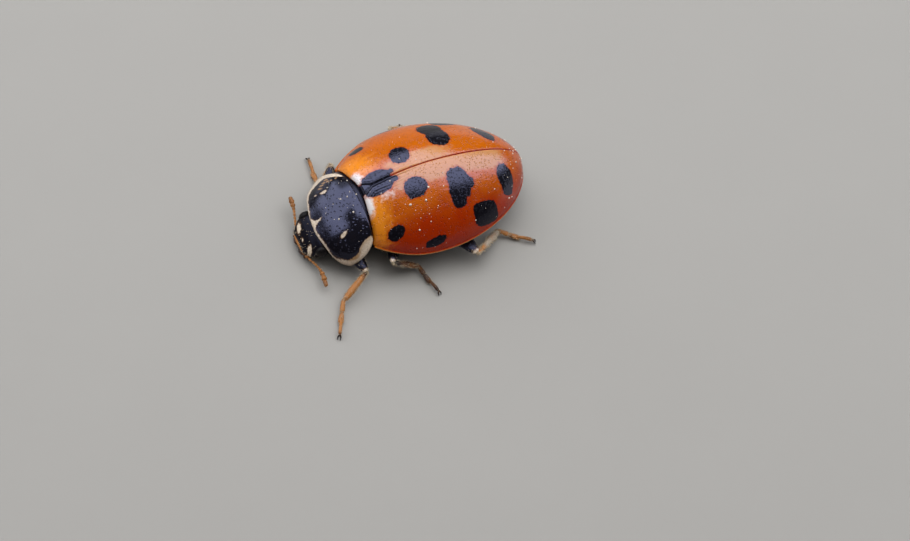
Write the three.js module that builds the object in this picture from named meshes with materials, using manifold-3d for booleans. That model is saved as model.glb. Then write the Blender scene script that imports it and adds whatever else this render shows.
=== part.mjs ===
// A variegated ladybird, life size: a still body 5 mm long that stands on its six feet.
// Millimetres, +Z up, the head towards -Y and the animal's left side towards +X.
import * as THREE from "three";
import { mergeVertices } from "three/addons/utils/BufferGeometryUtils.js";
import Module from "manifold-3d";

const wasm = await Module();
wasm.setup();

// Driving dimensions. The body frame starts on the midline, at the base of the wing cases
// and at the height of their rim, so the floor is at z = -rimHeight.
const rimHeight = 0.72;
const gap = 0.035; // kept between neighbours, and between the two wing cases
const shell = {
  length: 3.69,
  halfWidth: 1.487,
  height: 1.108,
  baseWidth: 0.643, // share of the half width at the base
  baseHeight: 0.632,
  widestAt: 0.384, // share of the length
  highestAt: 0.402,
  arch: 1.5, // exponents of the cross section, a smaller fullness makes it squarer
  fullness: 0.625,
  crown: 0.1, // share of the half width over which the top is rounded
  rimThickness: 0.06,
  innerRise: 0.58, // height of the inner face over the outer one: about 0.5 mm thick on top
};
const scutellum = { length: 0.2, halfWidth: 0.13, thickness: 0.3 };
const pronotum = {
  halfWidth: 1.13,
  length: 0.97,
  hindGap: 0.05,
  ridge: 0.652, // height of the midline at the hind border
  frontRidge: 0.035,
  hindEdge: 0.297, // heights of the side border, from the hind corner to the front
  sideEdge: -0.253,
  frontEdge: 0.01,
  shift: 0.114, // the forebody is carried a little to the animal's left
  turn: -2, // degrees
  roll: 2, // degrees
  innerRise: 0.62,
  edgeThickness: 0.05,
};
const trunk = { depth: 0.4, waist: 1.64, end: 3.5, widthShare: 0.9 };
const head = { x: 0.155, y: -0.735, z: -0.28, eyeSpread: 0.44 };
const feeler = { radius: 0.15, clubRadius: 0.19 };
const leg = { coxa: 0.16, femur: 0.23, tibia: 0.19, tarsus: 0.14, pad: 0.2, claw: 0.07 };

const colours = {
  shell: { color: 0xd9730d, roughness: 0.28, metalness: 0 },
  black: { color: 0x0c0b0f, roughness: 0.25, metalness: 0 },
  brown: { color: 0x8a4a16, roughness: 0.42, metalness: 0 },
};

const ladybird = new THREE.Group();
const body = new THREE.Group();
body.position.z = rimHeight;
ladybird.add(body);

const forebody = new THREE.Group();
forebody.position.x = pronotum.shift;
forebody.rotation.set(0, THREE.MathUtils.degToRad(pronotum.roll), THREE.MathUtils.degToRad(pronotum.turn));
body.add(forebody);

function addMesh(parent, name, geometry, finish) {
  const mesh = new THREE.Mesh(geometry, new THREE.MeshStandardMaterial(finish));
  mesh.name = name;
  parent.add(mesh);
  return mesh;
}

// Joining and cutting: a geometry becomes a solid with its shared vertices merged.
function solidOf(geometry) {
  const bare = new THREE.BufferGeometry();
  bare.setAttribute("position", geometry.getAttribute("position"));
  bare.setIndex(geometry.index);
  const merged = mergeVertices(bare, 1e-4);
  const triangles = [];
  const index = merged.index.array;
  for (let i = 0; i < index.length; i += 3) {
    const [a, b, c] = [index[i], index[i + 1], index[i + 2]];
    if (a !== b && b !== c && a !== c) triangles.push(a, b, c);
  }
  const vertProperties = merged.attributes.position.array;
  return new wasm.Manifold(new wasm.Mesh({ numProp: 3, vertProperties, triVerts: new Uint32Array(triangles) }));
}

function geometryOf(solid) {
  const mesh = solid.getMesh();
  const geometry = new THREE.BufferGeometry();
  geometry.setAttribute("position", new THREE.BufferAttribute(mesh.vertProperties, 3));
  geometry.setIndex(new THREE.BufferAttribute(mesh.triVerts, 1));
  geometry.computeVertexNormals();
  return geometry;
}

function joined(...geometries) {
  return geometryOf(geometries.map(solidOf).reduce((all, next) => all.add(next)));
}

function cut(geometry, ...tools) {
  return geometryOf(tools.map(solidOf).reduce((rest, tool) => rest.subtract(tool), solidOf(geometry)));
}

// A closed body between two height fields. outline(t) gives y and the x of both sides, with t from 0 to 1.
function slab({ rows, columns, outline, top, bottom, spread }) {
  const positions = [];
  const index = [];
  const across = columns + 1;
  const layer = across * (rows + 1);
  for (const height of [top, bottom]) {
    for (let row = 0; row <= rows; row++) {
      const { y, low, high } = outline(row / rows);
      for (let column = 0; column <= columns; column++) {
        const x = low + (high - low) * spread(column / columns);
        positions.push(x, y, height(x, y));
      }
    }
  }
  const quad = (a, b, c, d) => index.push(a, b, c, a, c, d);
  for (let row = 0; row < rows; row++) {
    for (let column = 0; column < columns; column++) {
      const a = row * across + column;
      quad(a, a + 1, a + 1 + across, a + across);
      quad(a + layer, a + across + layer, a + 1 + across + layer, a + 1 + layer);
    }
  }
  for (let row = 0; row < rows; row++) {
    const a = row * across;
    const b = a + columns;
    quad(a, a + across, a + across + layer, a + layer);
    quad(b, b + layer, b + across + layer, b + across);
  }
  for (let column = 0; column < columns; column++) {
    const b = rows * across + column;
    quad(column, column + layer, column + 1 + layer, column + 1);
    quad(b, b + 1, b + 1 + layer, b + layer);
  }
  const geometry = new THREE.BufferGeometry();
  geometry.setAttribute("position", new THREE.Float32BufferAttribute(positions, 3));
  geometry.setIndex(index);
  geometry.computeVertexNormals();
  return geometry;
}

const bothSides = (s) => (1 - Math.cos(Math.PI * s)) / 2;
const towardsRim = (s) => Math.sin((Math.PI / 2) * s);

// A rounded stick between two points, broad in the middle: `widths` are its half widths at even steps,
// `flatness` its height over its width, and `grow` swells it into the tool that its neighbour is cut by.
function stick(from, to, widths, flatness = 1, grow = 0, sides = 8) {
  const axis = to.clone().sub(from);
  const length = axis.length();
  const endShare = 0.05;
  const profile = [new THREE.Vector2(0, -grow)];
  widths.forEach((width, i) => {
    const share = endShare + ((1 - 2 * endShare) * i) / (widths.length - 1);
    profile.push(new THREE.Vector2(width + grow, length * share));
  });
  profile.push(new THREE.Vector2(0, length + grow));
  const geometry = new THREE.LatheGeometry(profile, sides);
  const section = flatness + (grow * (1 - flatness)) / Math.max(...widths);
  geometry.scale(1, 1, section);
  const side = axis.clone().cross(new THREE.Vector3(0, 0, 1)).normalize();
  const lift = side.clone().cross(axis).normalize();
  const place = new THREE.Matrix4().makeBasis(side, axis.normalize(), lift).setPosition(from);
  return geometry.applyMatrix4(place);
}

function ball(centre, x, y, z, across = 8, down = 5) {
  return new THREE.SphereGeometry(1, across, down).scale(x, y, z).translate(centre.x, centre.y, centre.z);
}

// Outline and dome of the closed wing cases, with t the share of the length from the base to the tip.
function shellWidth(y) {
  const t = y / shell.length;
  if (t < shell.widestAt) {
    return shell.halfWidth * (shell.baseWidth + (1 - shell.baseWidth) * (1 - (1 - t / shell.widestAt) ** 2.6));
  }
  const back = (t - shell.widestAt) / (1 - shell.widestAt);
  return shell.halfWidth * Math.max(1 - back ** 1.8, 0) ** (1 / 1.9);
}

function shellRidge(y) {
  const t = y / shell.length;
  if (t < shell.highestAt) {
    return shell.height * (shell.baseHeight + (1 - shell.baseHeight) * (1 - (1 - t / shell.highestAt) ** 2));
  }
  const back = (t - shell.highestAt) / (1 - shell.highestAt);
  return shell.height * Math.sqrt(Math.max(1 - back ** 1.88, 0));
}

function shellTop(x, y) {
  const u = Math.min(Math.abs(x) / shellWidth(y), 1);
  const rounded = (Math.hypot(u, shell.crown) - shell.crown) / (Math.hypot(1, shell.crown) - shell.crown);
  return shellRidge(y) * Math.max(1 - rounded ** shell.arch, 0) ** shell.fullness;
}

const shellInside = (x, y) => shellTop(x, y) * shell.innerRise - shell.rimThickness;

// The inner border of a wing case runs along the scutellum and then along the suture.
function sutureAt(y) {
  const beside = scutellum.halfWidth * (1 - y / scutellum.length) + gap;
  return Math.max(gap / 2, beside);
}

function elytron(side) {
  const base = 0.02;
  const tip = shell.length * 0.9985;
  return slab({
    rows: 17,
    columns: 7,
    outline: (t) => {
      const y = base + (tip - base) * Math.sin((Math.PI / 2) * t);
      const low = Math.min(sutureAt(y), shellWidth(y) * 0.6) * side;
      const high = shellWidth(y) * side;
      return side > 0 ? { y, low, high } : { y, low: high, high: low };
    },
    top: (x, y) => shellTop(x, y),
    bottom: shellInside,
    spread: side > 0 ? towardsRim : (s) => 1 - towardsRim(1 - s),
  });
}

addMesh(body, "elytron_left", elytron(1), colours.shell);
addMesh(body, "elytron_right", elytron(-1), colours.shell);

addMesh(
  body,
  "scutellum",
  slab({
    rows: 3,
    columns: 2,
    outline: (t) => {
      const y = 0.02 + (scutellum.length - 0.03) * t;
      const high = scutellum.halfWidth * (1 - y / scutellum.length);
      return { y, low: -high, high };
    },
    top: (x, y) => shellTop(x, y) - 0.01,
    bottom: (x, y) => shellTop(x, y) - scutellum.thickness,
    spread: bothSides,
  }),
  colours.black,
);

// The pronotum: a domed shield that slopes down to the head, its side borders lower than its hind corners.
function pronotumWidth(y) {
  const back = Math.max(1 + y / 0.5, 0);
  const front = Math.max(1 - (-y / pronotum.length) ** 1.8, 0) ** (1 / 3);
  return pronotum.halfWidth * front * (1 - 0.334 * back ** 2);
}

function pronotumEdge(y) {
  const hind = (pronotum.hindEdge - pronotum.sideEdge) * Math.max(1 + y / 0.55, 0) ** 1.7;
  const fore = (pronotum.frontEdge - pronotum.sideEdge) * Math.max((-y - 0.6) / (pronotum.length - 0.6), 0) ** 2;
  return pronotum.sideEdge + hind + fore;
}

function pronotumTop(x, y) {
  const fall = Math.max(1 - (-y / pronotum.length) ** 1.74, 0);
  const ridge = pronotum.frontRidge + (pronotum.ridge - pronotum.frontRidge) * fall;
  const u = Math.min(Math.abs(x) / pronotumWidth(y), 1);
  return pronotumEdge(y) + (ridge - pronotumEdge(y)) * (1 - u ** 2.2) ** 0.6;
}

function pronotumInside(x, y) {
  const edge = pronotumEdge(y);
  return edge + (pronotumTop(x, y) - edge) * pronotum.innerRise - pronotum.edgeThickness;
}

function pronotumOutline(front, widthShare) {
  return (t) => {
    const y = -pronotum.hindGap - (front - pronotum.hindGap) * Math.sin((Math.PI / 2) * (1 - t));
    const high = pronotumWidth(y) * widthShare;
    return { y, low: -high, high };
  };
}

addMesh(
  forebody,
  "pronotum",
  slab({
    rows: 11,
    columns: 14,
    outline: pronotumOutline(pronotum.length * 0.999, 1),
    top: pronotumTop,
    bottom: pronotumInside,
    spread: bothSides,
  }),
  colours.black,
);

// Underside: three solids that lie close under the shield and the wing cases.
function bellyDepth(share) {
  return trunk.depth * Math.sqrt(Math.max(1 - share ** 2, 0));
}

function trunkSlab(start, end, reach) {
  return slab({
    rows: 6,
    columns: 8,
    outline: (t) => {
      const y = start + (end - start) * t;
      const high = shellWidth(y) * trunk.widthShare;
      return { y, low: -high, high };
    },
    top: (x, y) => shellInside(x, y) - gap,
    bottom: (x, y) => {
      const across = Math.min(Math.abs(x) / (shellWidth(y) * trunk.widthShare), 1);
      return -0.14 - bellyDepth(across) * 0.75 * reach(y);
    },
    spread: bothSides,
  });
}

const thoraxSolid = trunkSlab(0.05, trunk.waist, () => 1);
const abdomenSolid = trunkSlab(trunk.waist + gap, trunk.end, (y) => {
  const back = (y - trunk.waist) / (trunk.end - trunk.waist);
  return Math.sqrt(Math.max(1 - 0.93 * back ** 2.2, 0));
});

const prothoraxSolid = slab({
  rows: 5,
  columns: 8,
  outline: pronotumOutline(0.7, 0.8),
  top: (x, y) => pronotumInside(x, y) - gap,
  bottom: (x, y) => {
    const across = Math.min(Math.abs(x) / (pronotumWidth(y) * 0.8), 1);
    return Math.min(pronotumEdge(y), -0.1) - 0.12 - 0.22 * Math.sqrt(1 - across ** 2);
  },
  spread: bothSides,
});

// The head: rounded sections from the neck to the mouth, with the eyes let into its sides.
function headSolid(grow) {
  const sections = [
    { y: 0, z: 0, w: 0.32, h: 0.15 },
    { y: -0.1, z: -0.01, w: 0.45, h: 0.2 },
    { y: -0.24, z: -0.04, w: 0.5, h: 0.23 },
    { y: -0.38, z: -0.09, w: 0.45, h: 0.21 },
    { y: -0.48, z: -0.14, w: 0.35, h: 0.15 },
    { y: -0.53, z: -0.17, w: 0.27, h: 0.1 },
  ];
  const around = 16;
  const positions = [];
  const index = [];
  sections.forEach(({ y, z, w, h }) => {
    for (let i = 0; i < around; i++) {
      const angle = (2 * Math.PI * i) / around;
      positions.push((w + grow) * Math.cos(angle), y, z + (h + grow) * Math.sin(angle));
    }
  });
  const last = sections.length - 1;
  positions.push(0, sections[0].y + grow, sections[0].z, 0, sections[last].y - grow, sections[last].z);
  const neck = sections.length * around;
  for (let i = 0; i < around; i++) {
    const next = (i + 1) % around;
    index.push(neck, next, i);
    index.push(neck + 1, last * around + i, last * around + next);
    for (let ring = 0; ring < last; ring++) {
      const a = ring * around + i;
      const b = ring * around + next;
      index.push(a, b + around, a + around, a, b, b + around);
    }
  }
  const geometry = new THREE.BufferGeometry();
  geometry.setAttribute("position", new THREE.Float32BufferAttribute(positions, 3));
  geometry.setIndex(index);
  return geometry;
}

const headGroup = new THREE.Group();
headGroup.position.set(head.x, head.y, head.z);
body.add(headGroup);

const point = (x, y, z) => new THREE.Vector3(x, y, z);
const eyes = { left: 1, right: -1 };
const eyeBall = (side, grow = 0) =>
  ball(point(side * head.eyeSpread, -0.22, 0), 0.1 + grow, 0.15 + grow, 0.14 + grow, 12, 8);

const labrum = (grow) => ball(point(0, -0.5, -0.2), 0.22 + grow, 0.07 + grow, 0.07 + grow);
addMesh(headGroup, "head", cut(headSolid(0), eyeBall(1, gap), eyeBall(-1, gap), labrum(gap)), colours.black);
addMesh(headGroup, "labrum", labrum(0), colours.brown);

for (const [name, side] of Object.entries(eyes)) {
  addMesh(headGroup, `eye_${name}`, eyeBall(side), colours.black);
  const jaw = stick(point(side * 0.17, -0.42, -0.35), point(side * 0.05, -0.53, -0.35), [0.05, 0.06, 0.03], 0.8);
  addMesh(headGroup, `mandible_${name}`, jaw, colours.brown);
  const palp = joined(
    stick(point(side * 0.26, -0.42, -0.32), point(side * 0.31, -0.55, -0.33), [0.05, 0.06, 0.05]),
    stick(point(side * 0.31, -0.54, -0.33), point(side * 0.27, -0.66, -0.36), [0.05, 0.08, 0.09], 0.7),
  );
  addMesh(headGroup, `palp_${name}`, palp, colours.brown);
}

// A feeler is a tube along its curve with a longer club at the tip.
function feelerSolid(points) {
  const curve = new THREE.CatmullRomCurve3(points);
  const outline = new THREE.Shape().absarc(0, 0, feeler.radius, 0, 2 * Math.PI);
  const settings = { steps: 8, curveSegments: 4, bevelEnabled: false, extrudePath: curve };
  const tube = new THREE.ExtrudeGeometry(outline, settings);
  const tip = curve.getPoint(1);
  const before = curve.getPoint(0.78);
  const club = stick(before, tip.clone().addScaledVector(curve.getTangent(1), 0.06), [
    feeler.radius,
    feeler.clubRadius,
    feeler.clubRadius,
    feeler.radius,
  ]);
  return joined(tube, club);
}

const feelerPaths = {
  left: [point(0.34, -0.47, -0.1), point(0.47, -0.47, -0.13), point(0.8, -0.4, -0.17), point(1.05, -0.39, -0.21)],
  right: [point(-0.33, -0.47, -0.1), point(-0.46, -0.44, -0.1), point(-0.74, -0.35, -0.08), point(-1.0, -0.3, -0.12)],
};

// The joints of each leg in the body frame, from the hip to the tips of the claws.
const legJoints = {
  front_left: [point(0.42, -0.4, -0.44), point(1.28, -0.27, -0.36), point(1.675, -0.93, -0.56), point(2.4, -1.32)],
  front_right: [point(-0.42, -0.4, -0.44), point(-1.15, -0.02, -0.2), point(-0.92, -0.31, -0.59), point(-1.78, -0.21)],
  middle_left: [point(0.5, 0.68, -0.45), point(1.355, 0.25, -0.15), point(1.385, 0.89, -0.57), point(2.08, 1.09)],
  middle_right: [point(-0.5, 0.68, -0.45), point(-1.42, 0.72, -0.22), point(-1.5, 1.4, -0.57), point(-1.9, 1.97)],
  hind_left: [point(0.6, 1.72, -0.44), point(1.66, 2.04, -0.2), point(1.125, 2.81, -0.56), point(1.55, 3.49)],
  hind_right: [point(-0.6, 1.72, -0.44), point(-1.6, 1.48, -0.14), point(-1.54, 2.3, -0.55), point(-1.42, 3.08)],
};

const floor = new THREE.BoxGeometry(12, 12, 1).translate(0, 0, -rimHeight - 0.5);

function legSolids([hip, knee, ankle, tip]) {
  tip.z = -rimHeight;
  const root = point(hip.x * 0.5, hip.y, hip.z + 0.02);
  const coxa = (grow) => stick(root, hip, [0.12, leg.coxa, 0.12], 0.8, grow, 6);
  const femurWidths = [0.12, 0.2, leg.femur, 0.2, 0.14];
  const femur = (grow) => stick(hip, knee, femurWidths, 0.62, grow);
  const tibiaWidths = [0.11, 0.15, leg.tibia, leg.tibia, 0.15];
  const tibia = (grow) => stick(knee, ankle, tibiaWidths, 0.85, grow);
  // The tarsus: a first joint down to the pad that stands on the floor, then the claw joint with two claws.
  const along = tip.clone().sub(ankle);
  const pad = ankle.clone().addScaledVector(along, 0.5).setZ(-rimHeight + 0.1);
  const wrist = ankle.clone().addScaledVector(along, 0.84).setZ(-rimHeight + 0.17);
  const sideways = point(-along.y, along.x, 0).setLength(0.07);
  const claw = (side) => {
    const end = tip.clone().addScaledVector(sideways, side).setZ(-rimHeight + 0.02);
    return stick(wrist, end, [leg.claw, 0.06, 0.03], 1, 0, 5);
  };
  const tarsus = joined(
    stick(ankle, pad, [0.1, leg.tarsus, leg.tarsus], 1, 0, 6),
    ball(pad, leg.pad, leg.pad, 0.14),
    stick(pad, wrist, [0.1, 0.12, 0.11], 1, 0, 6),
    claw(1),
    claw(-1),
  );
  return {
    coxa: coxa(0),
    coxaTool: coxa(gap),
    femur: cut(femur(0), coxa(gap)),
    femurTool: femur(gap),
    tibia: cut(tibia(0), femur(gap), floor),
    tarsus: cut(tarsus, tibia(gap), floor),
  };
}

const bellyTools = [];
for (const [name, joints] of Object.entries(legJoints)) {
  const parts = legSolids(joints);
  bellyTools.push(parts.coxaTool, parts.femurTool);
  addMesh(body, `coxa_${name}`, parts.coxa, colours.black);
  addMesh(body, `femur_${name}`, parts.femur, colours.black);
  addMesh(body, `tibia_${name}`, parts.tibia, colours.brown);
  addMesh(body, `tarsus_${name}`, parts.tarsus, colours.brown);
}

addMesh(body, "thorax", cut(thoraxSolid, ...bellyTools.slice(4)), colours.black);
addMesh(body, "abdomen", cut(abdomenSolid, ...bellyTools.slice(8)), colours.black);
for (const [name, path] of Object.entries(feelerPaths)) {
  const feelerTrimmed = cut(feelerSolid(path), headSolid(gap), eyeBall(eyes[name], gap));
  addMesh(headGroup, `antenna_${name}`, feelerTrimmed, colours.brown);
}
forebody.updateMatrixWorld(true);
addMesh(body, "prothorax", cut(prothoraxSolid.applyMatrix4(forebody.matrix), ...bellyTools.slice(0, 4)), colours.black);

// The origin is on the floor under the middle of the whole model.
ladybird.updateMatrixWorld(true);
const box = new THREE.Box3().setFromObject(ladybird, true);
const middle = box.getCenter(new THREE.Vector3());
body.position.set(-middle.x, -middle.y, rimHeight - box.min.z);

export default ladybird;
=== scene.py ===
import math

import bpy
import numpy as np
from mathutils import Matrix, Vector


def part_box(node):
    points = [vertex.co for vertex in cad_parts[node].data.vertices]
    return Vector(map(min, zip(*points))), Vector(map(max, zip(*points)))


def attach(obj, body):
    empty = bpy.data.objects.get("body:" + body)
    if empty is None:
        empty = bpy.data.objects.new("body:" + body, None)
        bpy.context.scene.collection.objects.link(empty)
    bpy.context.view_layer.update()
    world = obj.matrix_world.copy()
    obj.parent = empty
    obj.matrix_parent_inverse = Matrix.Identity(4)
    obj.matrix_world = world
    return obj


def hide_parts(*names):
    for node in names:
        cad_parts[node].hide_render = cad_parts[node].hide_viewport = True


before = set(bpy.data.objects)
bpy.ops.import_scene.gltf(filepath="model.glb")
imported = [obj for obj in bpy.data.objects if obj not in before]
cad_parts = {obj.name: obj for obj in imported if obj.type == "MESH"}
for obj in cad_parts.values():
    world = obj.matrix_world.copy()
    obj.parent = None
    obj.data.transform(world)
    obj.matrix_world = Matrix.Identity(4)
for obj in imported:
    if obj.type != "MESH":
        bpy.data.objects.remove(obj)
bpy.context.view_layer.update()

# A variegated ladybird, life size, on a pale floor. The shapes are worked out in millimetres in the
# body frame, which starts on the midline, at the base of the wing cases and level with their rim.
mm = 0.001
rng = np.random.default_rng(12)
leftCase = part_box("elytron_left")
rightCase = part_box("elytron_right")
bodyOrigin = np.array([
    (leftCase[0].x + rightCase[1].x) / 2,
    leftCase[0].y - 0.02 * mm,
    leftCase[0].z + 0.06 * mm,
])
floorLevel = -bodyOrigin[2] / mm
sides = ((1, "left"), (-1, "right"))
print("frame loaded,", len(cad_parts), "solids")


# A shape is its points, its faces and named values at its points, such as the distance to a spot's edge.
def makeShape(points, faces, **values):
    return {
        "points": np.asarray(points, float).reshape(-1, 3),
        "faces": faces,
        "values": {key: np.asarray(value, float) for key, value in values.items()},
    }


def joinShapes(shapes):
    keys = sorted(set().union(*[shape["values"] for shape in shapes]))
    faces = []
    start = 0
    for shape in shapes:
        faces.extend(tuple(corner + start for corner in face) for face in shape["faces"])
        start += len(shape["points"])
    values = {
        key: np.concatenate([s["values"].get(key, np.zeros(len(s["points"]))) for s in shapes])
        for key in keys
    }
    return makeShape(np.concatenate([shape["points"] for shape in shapes]), faces, **values)


# Rings of points joined into a closed body: each ring is one row of the grid.
def loftShape(rings, cap="pole", **values):
    rings = np.asarray(rings, float)
    count, around = rings.shape[:2]
    faces = []
    last = (count - 1) * around
    for start in range(0, last, around):
        for i in range(around):
            j = (i + 1) % around
            faces.append((start + i, start + j, start + around + j, start + around + i))
    if cap == "pole":
        faces.append(tuple(range(around))[::-1])
        faces.append(tuple(last + i for i in range(around)))
    else:  # a flat ring is closed by joining its two long sides
        for i in range(around // 2 - 1):
            faces.append((i + 1, i, around - 1 - i, around - 2 - i))
            faces.append((last + i, last + i + 1, last + around - 2 - i, last + around - 1 - i))
    shape = makeShape(rings, faces, **values)
    shape["rings"] = rings
    return shape


# A loft of flat rings, black all over unless its cream marks are given.
def slabShape(rings, cream=1.0):
    rings = np.array(rings)
    return loftShape(rings, cap="zip", cream=np.broadcast_to(cream, rings.shape[:2]).ravel())


# Random places on a loft: point, outward normal, the direction along the loft, and a place on its unwrap.
def scatterOn(shape, count, keep=None):
    rings = shape["rings"]
    rows, around = rings.shape[:2]
    row = rng.integers(1, rows - 1, count * 3)
    turn = rng.integers(0, around, count * 3)
    forward = rings[np.minimum(row + 1, rows - 1), turn] - rings[row - 1, turn]
    sideways = rings[row, (turn + 1) % around] - rings[row, turn - 1]
    normal = np.cross(forward, sideways)
    size = np.linalg.norm(normal, axis=1)
    point = rings[row, turn]
    flip = np.sign(((point - rings[row].mean(1)) * normal).sum(1))
    good = (size > 1e-9) & (flip != 0)
    if keep is not None:
        good &= keep(point)
    chosen = np.flatnonzero(good)[:count]
    normal = normal[chosen] * (flip[chosen] / size[chosen])[:, None]
    forward = forward[chosen] / (np.linalg.norm(forward[chosen], axis=1) + 1e-9)[:, None]
    place = np.stack([turn[chosen] / around, row[chosen] / rows], 1)
    return point[chosen], normal, forward, place


# Bristles and dust are gathered here while the pieces are made. Each loft has its own cell on the unwrap.
coat = {
    "bristles": [], "dust": [], "rootDepth": 0.004, "tangle": 0.12,
    "cells": 0, "cellsAcross": 10, "cellMargin": 0.05, "patch": 0.0015,
}


def cellPlace(place):
    margin, across = coat["cellMargin"], coat["cellsAcross"]
    corner = np.array([coat["cells"] % across, coat["cells"] // across])
    return (corner + margin + (1 - 2 * margin) * place) / across


def plantBristles(shape, count, length, lean=0.7, radius=0.0042, keep=None):
    point, normal, forward, place = scatterOn(shape, count, keep)
    n = len(point)
    sizes = length * rng.uniform(0.7, 1.25, n)
    tilt = forward * lean + rng.normal(0, coat["tangle"], (n, 3))
    root = point - normal * coat["rootDepth"]
    coat["bristles"].append((root, normal, tilt, sizes, np.full(n, radius), cellPlace(place)))
    coat["cells"] += 1


def strewDust(shape, count, small, large, keep=None):
    point, normal, _, place = scatterOn(shape, count, keep)
    sizes = small + (large - small) * rng.uniform(0, 1, len(point)) ** 3
    coat["dust"].append((point, normal, sizes, cellPlace(place)))
    coat["cells"] += 1


def addObject(name, data):
    thing = bpy.data.objects.new(name, data)
    bpy.context.scene.collection.objects.link(thing)
    return thing


def makePiece(name, shape, material, nodes=(), patches=None):
    mesh = bpy.data.meshes.new(name)
    mesh.from_pydata((shape["points"] * mm + bodyOrigin).tolist(), [], shape["faces"])
    for key, value in shape["values"].items():
        if value.ndim == 2:
            mesh.attributes.new(key, "FLOAT_VECTOR", "POINT").data.foreach_set("vector", value.ravel())
        else:
            mesh.attributes.new(key, "FLOAT", "POINT").data.foreach_set("value", value)
    if patches is not None:
        corners = np.zeros(len(mesh.loops), int)
        mesh.loops.foreach_get("vertex_index", corners)
        mesh.uv_layers.new(name="OFBake").data.foreach_set("uv", patches[corners].ravel())
    mesh.shade_smooth()
    mesh.materials.append(material)
    piece = addObject(name, mesh)
    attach(piece, "root")
    if nodes:
        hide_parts(*nodes)


def smoothStep(low, high, value):
    t = np.clip((value - low) / (high - low), 0, 1)
    return t * t * (3 - 2 * t)


# A soft rise to 1 at one place, and a groove of the same outline.
def swell(value, at, width):
    return np.exp(-((value - at) / width) ** 2)


def groove(value, at, width, depth):
    return -depth * swell(value, at, width)


# Steps from -1 to 1, closer together towards both ends.
def spread(count):
    return -np.cos(math.pi * np.linspace(0, 1, count))


def turns(count):
    return np.linspace(0, 2 * math.pi, count, endpoint=False)


# A flat ring across the body, out along the top and back along the underside.
def flatRing(x, y, top, under):
    return np.stack([np.r_[x, x[::-1]], np.full(2 * len(x), y), np.r_[top, under[::-1]]], 1)


# How far out a place is from the middle of an oval, as a share of its reach.
def ovalShare(across, along, oval):
    middleAcross, middleAlong, reachAcross, reachAlong = oval
    return np.hypot((across - middleAcross) / reachAcross, (along - middleAlong) / reachAlong)


# Signed distance to a rounded blob, below zero inside it. The turn is in degrees, and a higher power
# squares its corners.
def blobDistance(across, along, blob):
    centreAcross, centreAlong, halfWidth, halfLength, turn = blob[:5]
    power = blob[5] if len(blob) > 5 else 2.3
    c, s = math.cos(math.radians(turn)), math.sin(math.radians(turn))
    a = c * (across - centreAcross) + s * (along - centreAlong)
    b = -s * (across - centreAcross) + c * (along - centreAlong)
    reach = (np.abs(a / halfWidth) ** power + np.abs(b / halfLength) ** power) ** (1 / power)
    return (reach - 1) * min(halfWidth, halfLength)


def spotDistance(across, along, blobs, blend=0.03):
    nearest = np.full(np.shape(across), 9.0)
    for blob in blobs:
        d = blobDistance(across, along, blob)
        mix = np.clip(0.5 + 0.5 * (nearest - d) / blend, 0, 1)
        nearest = nearest * (1 - mix) + d * mix - blend * mix * (1 - mix)
    return nearest


# A smooth line through the given stations, as in a spline, read at the given positions.
def smoothLine(stations, positions):
    stations = np.asarray(stations, float)
    count = len(stations) - 1
    t = np.clip(np.asarray(positions, float), 0, 1) * count
    i = np.minimum(t.astype(int), count - 1)
    f = (t - i)[:, None]
    before, first = stations[np.maximum(i - 1, 0)], stations[i]
    second, after = stations[i + 1], stations[np.minimum(i + 2, count)]
    return 0.5 * (
        2 * first + (second - before) * f + (2 * before - 5 * first + 4 * second - after) * f ** 2
        + (3 * first - before - 3 * second + after) * f ** 3
    )


# Signed distance to a closed line of corners, above zero inside it.
def insideDistance(x, y, corners):
    nearest = np.full(np.shape(x), 9.0)
    inside = np.zeros(np.shape(x), bool)
    for (ax, ay), (bx, by) in zip(corners, corners[1:] + corners[:1]):
        dx, dy = bx - ax, by - ay
        t = np.clip(((x - ax) * dx + (y - ay) * dy) / (dx * dx + dy * dy), 0, 1)
        nearest = np.minimum(nearest, np.hypot(x - ax - t * dx, y - ay - t * dy))
        if ay != by:
            inside ^= ((ay > y) != (by > y)) & (x < dx * (y - ay) / dy + ax)
    return np.where(inside, nearest, -nearest)


# ---- materials
def addNode(tree, kind, inputs=(), **settings):
    node = tree.nodes.new(kind)
    for key, value in settings.items():
        setattr(node, key, value)
    for socket, value in dict(inputs).items():
        if isinstance(value, bpy.types.NodeSocket):
            tree.links.new(value, node.inputs[socket])
        else:
            node.inputs[socket].default_value = value
    return node


def newMaterial(name, **constants):
    material = bpy.data.materials.new(name)
    material.use_nodes = True
    tree = material.node_tree
    shader = tree.nodes["Principled BSDF"]
    for socket, value in constants.items():
        shader.inputs[socket.replace("_", " ")].default_value = value
    return material, tree


# Links the maps to the sockets of the same names on the material's shader.
def feed(material, **maps):
    tree = material.node_tree
    for socket, source in maps.items():
        tree.links.new(source, tree.nodes["Principled BSDF"].inputs[socket.replace("_", " ")])
    return material


def attribute(tree, name, vector=False):
    node = addNode(tree, "ShaderNodeAttribute", attribute_name=name, attribute_type="GEOMETRY")
    return node.outputs["Vector" if vector else "Fac"]


# A socket knows its own tree of nodes.
def noise(place, scale, detail=3, rough=0.55, twist=0.0):
    inputs = {"Vector": place, "Scale": scale, "Detail": detail, "Roughness": rough, "Distortion": twist}
    return addNode(place.id_data, "ShaderNodeTexNoise", inputs).outputs["Fac"]


def cells(place, perMm, randomness=1.0):
    inputs = {"Vector": place, "Scale": perMm, "Randomness": randomness}
    return addNode(place.id_data, "ShaderNodeTexVoronoi", inputs).outputs["Distance"]


def math2(operation, a, b=0.0):
    return addNode(a.id_data, "ShaderNodeMath", {0: a, 1: b}, operation=operation).outputs[0]


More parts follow.
